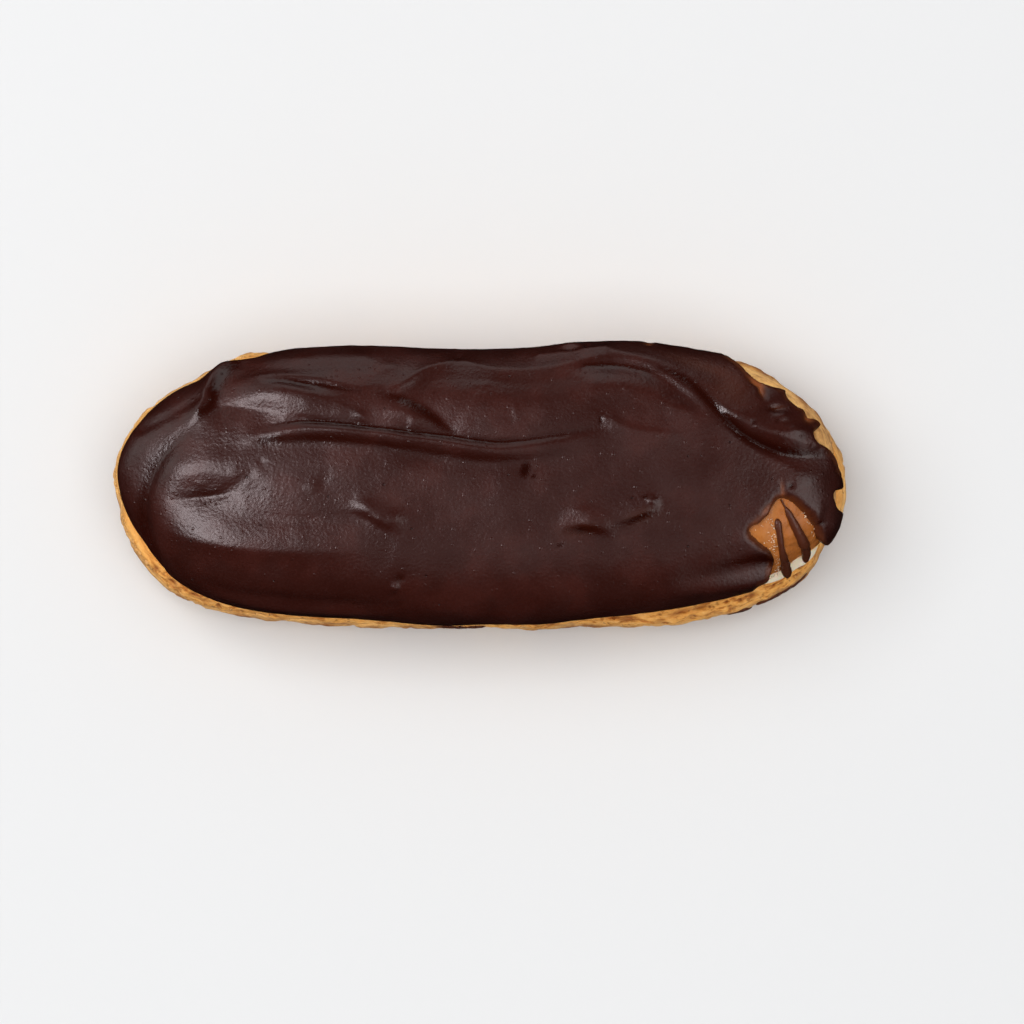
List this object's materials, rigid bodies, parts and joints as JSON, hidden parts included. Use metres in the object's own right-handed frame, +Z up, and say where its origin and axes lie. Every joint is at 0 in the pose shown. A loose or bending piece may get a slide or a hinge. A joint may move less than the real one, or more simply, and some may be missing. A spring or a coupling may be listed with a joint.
{
  "type": "chocolate eclair",
  "caption": "Oblong choux bun cut through, with whipped cream in its hollow base and a lid coated in chocolate icing that leaves a patch bare under drips.",
  "frame": {"origin": "on the surface the eclair rests on, under the middle of its overall length and width", "axes": "+Z up through the icing; +X along the bun, towards the end with the bare patch of lid; +Y across it, away from the side with the bare patch"},
  "size_m": [0.1407, 0.0555, 0.0403],
  "materials": {
    "choux": "dry golden-brown baked crust with fine cracks, satin where it is smooth",
    "cream": "soft off-white whipped cream, slightly moist",
    "icing": "dark brown chocolate icing with a broad satin sheen"
  },
  "bodies": {
    "root": {"choux_base": "choux", "cream_filling": "cream", "choux_lid": "choux", "chocolate_icing": "icing"}
  },
  "joints": []
}
